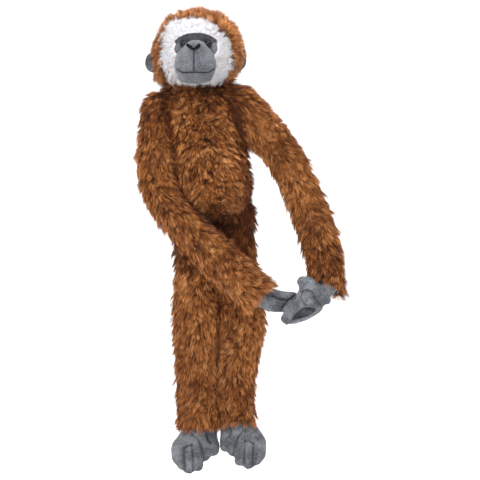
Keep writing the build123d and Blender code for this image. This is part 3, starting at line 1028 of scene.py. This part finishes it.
def make_eye_panel():
    """The grey velour round the eyes: a brow above them and a shallow socket for each."""
    eyes = [eye_place(side) for side in OUTWARD]

    def lift(share, points):
        brow = smoothstep(points[:, 2], PANEL_MIDDLE[2] + 3 * MM, PANEL_MIDDLE[2] + 10 * MM) * 1.6
        away = np.min([np.hypot(points[:, 0] - e[0], points[:, 2] - e[2]) for e in eyes], axis=0)
        socket = 2.2 * bell(away, 6.5 * MM)
        return (1.6 + brow - socket - 2.4 * share**10) * MM

    def brushed_out(points, outward):
        return away_from_face(points)

    panel = face_disc("eye_panel", PANEL_MIDDLE, *PANEL_HALF, lift)
    finished(panel, FACE_VELOUR)

    def on_brow(points, outward):
        high = smoothstep(points[:, 2], PANEL_MIDDLE[2] + 3 * MM, PANEL_MIDDLE[2] + 8 * MM)
        return high * smoothstep(from_panel(points), 0.3, 0.6)

    fuzz = grow_pile("brow_fuzz", panel, brushed_out, 330, length=4.5 * MM, width=0.45 * MM, per_m2=5e6,
                     spacing=2 * MM, rise=0.5, lay=0.8, gather=0.3, unruly=0.4, keep=on_brow)
    finished(fuzz, GREY_PILE)
    for piece in (panel, fuzz):
        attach(piece, "head")
    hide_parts("eye_panel")


# Height, half width and front of each level of the muzzle, in millimetres from its middle.
MUZZLE_LEVELS = np.array([
    (-24.0, 6.0, 1.0),
    (-22.5, 13.5, -4.0),
    (-19.5, 17.8, -9.0),
    (-15.0, 19.6, -14.0),
    (-10.5, 22.2, -18.0),
    (-6.0, 23.4, -20.3),
    (0.0, 23.4, -21.4),
    (6.0, 22.0, -21.9),
    (11.5, 18.8, -21.8),
    (16.0, 15.0, -20.6),
    (19.5, 11.8, -18.0),
    (22.0, 6.5, -13.5),
]) * MM
MOUTH_DROP = 12.9 * MM
NOSE_LIFT = 11.7 * MM
SEAM_X = -1.6 * MM
MUZZLE_BACK = 14 * MM
DIMPLES_X = -17.0 * MM, 16.5 * MM
DIMPLE_DROP = 5.5 * MM
DIMPLE_R = 3.4 * MM


def muzzle_front(x, z):
    """Where the muzzle's front is, for places measured from its middle."""
    half = np.interp(z, MUZZLE_LEVELS[:, 0], MUZZLE_LEVELS[:, 1])
    front = np.interp(z, MUZZLE_LEVELS[:, 0], MUZZLE_LEVELS[:, 2])
    return MUZZLE_BACK + (front - MUZZLE_BACK) * np.sqrt(np.maximum(1 - (x / half) ** 2, 0))


def mouth_height(x):
    """The mouth line is flat in the middle and turns up at its ends."""
    return -MOUTH_DROP + 4.5 * MM * smoothstep(np.abs(x), 13 * MM, 22 * MM)


def make_muzzle():
    """A stuffed velour muzzle with a sewn middle seam, a mouth crease and two cheek dimples."""
    z, half, front = curve_through(MUZZLE_LEVELS, 60).T
    centres = MUZZLE_MIDDLE + BACKWARD * MUZZLE_BACK + np.outer(z, UP)
    depth = MUZZLE_BACK - front
    muzzle = ring_mesh("muzzle_velour", rings(centres, ACROSS, BACKWARD, half, depth, around=120))
    co, normals = coordinates(muzzle), vertex_normals(muzzle)
    x, _, z = (co - MUZZLE_MIDDLE).T
    facing = smoothstep(-normals[:, 1], 0.0, 0.5)
    seam = bell(x - SEAM_X, 1.1 * MM)
    seam = seam * (1 - smoothstep(z, NOSE_LIFT, NOSE_LIFT + 2 * MM))
    seam = seam * smoothstep(z, -MOUTH_DROP - 1 * MM, -MOUTH_DROP + 1 * MM)
    seam_broad = bell(x - SEAM_X, 4 * MM) * (1 - smoothstep(z, 8 * MM, 14 * MM))
    above_mouth = z - mouth_height(x)
    mouth = bell(above_mouth, 1.3 * MM)
    lip = bell(above_mouth - 3.5 * MM, 3 * MM)
    dimples = 0
    for dimple_x in DIMPLES_X:
        off = np.hypot(x - dimple_x, z + DIMPLE_DROP)
        dimples = dimples + bell(off - DIMPLE_R, 0.75 * MM)
    nostrils = bell(np.hypot(np.abs(x) - 6 * MM, z - 17 * MM), 4 * MM)
    push = -1.0 * seam - 0.7 * seam_broad - 2.2 * mouth + 0.7 * lip - 1.5 * dimples + 0.9 * nostrils
    push = push * facing + waves(co, 12 * MM, 5) * 0.3
    set_coordinates(muzzle, co + normals * (push * MM)[:, None])
    finished(muzzle, FACE_VELOUR)
    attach(muzzle, "head")
    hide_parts("muzzle_skin", "muzzle_stuffing")


def on_muzzle(x, z, proud):
    """Points proud of the muzzle's front, for places in millimetres from its middle."""
    x, z = x * MM, z * MM
    return MUZZLE_MIDDLE + np.stack([x, muzzle_front(x, z) - proud * MM, z], axis=1)


def thread(points, radius):
    """One stitch of thread along points, thinner at its ends, with its radius in millimetres."""
    centres = curve_through(points, 12)
    _, first, second = path_frames(centres, (0.2, 1.0, 0.1))
    wide = np.full(len(centres), radius * MM)
    wide[[0, -1]] *= 0.3
    return ring_mesh("thread", rings(centres, first, second, wide, wide, 8))


NOSTRIL_STITCHES = 12
NOSTRIL_LENGTHS = {-1: 8.6, 1: 7.2}

# Dashed lines: how many stitches and, in millimetres, the first one's start, their step and length.
SEAM_STITCHES = 11, -11.6, 2.05, 1.5
MOUTH_STITCHES = 17, -21.0, 2.5, 2.1


def nostril_thread():
    """Upright satin stitches, side by side along a line that rises outwards on each side."""
    stitches = []
    for way, length in NOSTRIL_LENGTHS.items():
        for k in range(NOSTRIL_STITCHES):
            along = k / (NOSTRIL_STITCHES - 1)
            x = SEAM_X / MM + way * (0.4 + along * length * 0.85)
            z = NOSE_LIFT / MM + along * length * 0.66
            half = 0.8 + 1.2 * math.sin(along * math.pi * 0.75)
            xs = np.array((x + way * 0.4, x, x - way * 0.4))
            zs = np.array((z - half, z, z + half))
            stitches.append(thread(on_muzzle(xs, zs, np.array((0.9, 2.0, 0.9))), 0.6))
    return joined("nose_stitching_thread", stitches)


def dashes(count, start, step, length):
    """Three places along each stitch of a dashed line."""
    return [np.linspace(0, 1, 3) * length + start + k * step for k in range(count)]


def mouth_thread():
    """A dashed line of stitches down the middle seam and another along the mouth."""
    stitches = []
    for z in dashes(*SEAM_STITCHES):
        stitches.append(thread(on_muzzle(np.full(3, SEAM_X / MM), z, np.array((-1.2, -0.3, -1.2))), 0.42))
    for x in dashes(*MOUTH_STITCHES):
        z = mouth_height(x * MM) / MM
        stitches.append(thread(on_muzzle(x, z, np.array((-2.2, -1.4, -2.2))), 0.36))
    return joined("mouth_stitching_thread", stitches)


def make_embroidery():
    for piece, node in ((nostril_thread(), "nose_stitching"), (mouth_thread(), "mouth_stitching")):
        finished(piece, BLACK_THREAD)
        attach(piece, "head")
        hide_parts(node)


# In millimetres, how far an ear has settled from its CAD node, and its turned outline.
EAR_SETTLED = {"right": (1.5, 4, 4), "left": (-7.5, 4, 6)}
EAR_PROFILE = ((0.4, -1.4), (3.5, -1.3), (6.5, -0.4), (8.2, 1.4), (9.6, 2.3), (10.4, 1.2), (10.4, -0.7),
               (9.3, -2.5), (6, -3.6), (0.4, -4.0))


def make_ear(side):
    """A round velour ear, cupped in front, with its rim turned over."""
    middle = box_of(f"{side}_ear")[2] + np.array(EAR_SETTLED[side]) * MM
    facing = unit(np.array((OUTWARD[side] * 0.8, -0.6, 0.0)))
    ear = turned_form(f"{side}_ear_velour", middle, facing, EAR_PROFILE, MM, steps=34, around=48)
    co = coordinates(ear)
    set_coordinates(ear, co + vertex_normals(ear) * (waves(co, 9 * MM, 41) * 0.5 * MM)[:, None])
    finished(ear, DARK_VELOUR_AND_PAINTED_SHADE)
    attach(ear, "head")
    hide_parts(f"{side}_ear")


def make_head():
    make_skull()
    make_ruff_cloth()
    make_eye_panel()
    make_muzzle()
    make_embroidery()
    for side in OUTWARD:
        make_eye(side)
        make_ear(side)


# ---- the assembly

make_torso()
make_head()
for side in OUTWARD:
    for kind in LIMB_BODIES:
        make_limb(side, kind, **LIMBS[side, kind])
    make_foot(side)
    make_fastener(side)
make_left_hand()
make_right_hand()

# ---- studio

def paper_material(name, colour, glow):
    """Studio paper that is lit a little from behind, so it stays even and pale."""
    made, _, shader = material(name, 0.9)
    set_inputs(shader, {"Base Color": (*colour, 1), "Emission Color": (1, 1, 1, 1)})
    set_inputs(shader, {"Emission Strength": glow})
    return made


def area_light(name, place, target, size, power):
    data = bpy.data.lights.new(name, "AREA")
    data.shape = "DISK"
    data.size = size
    data.energy = power
    lamp = linked(name, data)
    lamp.location = place
    lamp.rotation_euler = (Vector(target) - Vector(place)).to_track_quat("-Z", "Y").to_euler()


FLOOR_Z = -0.002
SWEEP_OUT = 6.0
SWEEP_R = 1.5
WALL_TOP = 5.0


def make_studio():
    """A round pale floor that sweeps up into a backdrop on every side, open above."""
    turn = np.linspace(0, math.pi / 2, 16)
    profile = [(0.01, 0.0), (1.0, 0.0), (3.0, 0.0)]
    profile += [(SWEEP_OUT + SWEEP_R * math.sin(t), SWEEP_R * (1 - math.cos(t))) for t in turn]
    profile += [(SWEEP_OUT + SWEEP_R, WALL_TOP)]
    out, up = np.array(profile).T
    centres = np.outer(up + FLOOR_Z, UP)
    floor = ring_mesh("studio_floor", rings(centres, ACROSS, BACKWARD, out, out, around=96), True, False)
    floor.data.materials.append(paper_material("studio_paper", (0.9, 0.9, 0.9), 0.36))
    world = bpy.data.worlds.new("studio")
    world.use_nodes = True
    set_inputs(world.node_tree.nodes["Background"], {"Color": (1, 1, 1, 1), "Strength": 0.68})
    bpy.context.scene.world = world
    area_light("key", (-0.7, -1.3, 1.5), (0, 0, 0.28), 0.7, 24)
    area_light("top", (0.3, -0.2, 1.6), (0, 0, 0.3), 0.9, 14)


VIEW_WIDTH = 0.523
LENS = 300.0
SENSOR = 36.0
VIEW_CENTRE = (0.0025, 0.2565)


def make_camera():
    data = bpy.data.cameras.new("camera")
    data.lens = LENS
    data.sensor_width = SENSOR
    data.clip_end = 40
    camera = linked("camera", data)
    camera.location = (VIEW_CENTRE[0], -VIEW_WIDTH * LENS / SENSOR, VIEW_CENTRE[1])
    camera.rotation_euler = (math.pi / 2, 0, 0)
    bpy.context.scene.camera = camera


make_studio()
make_camera()
bpy.context.scene.view_settings.view_transform = "Standard"
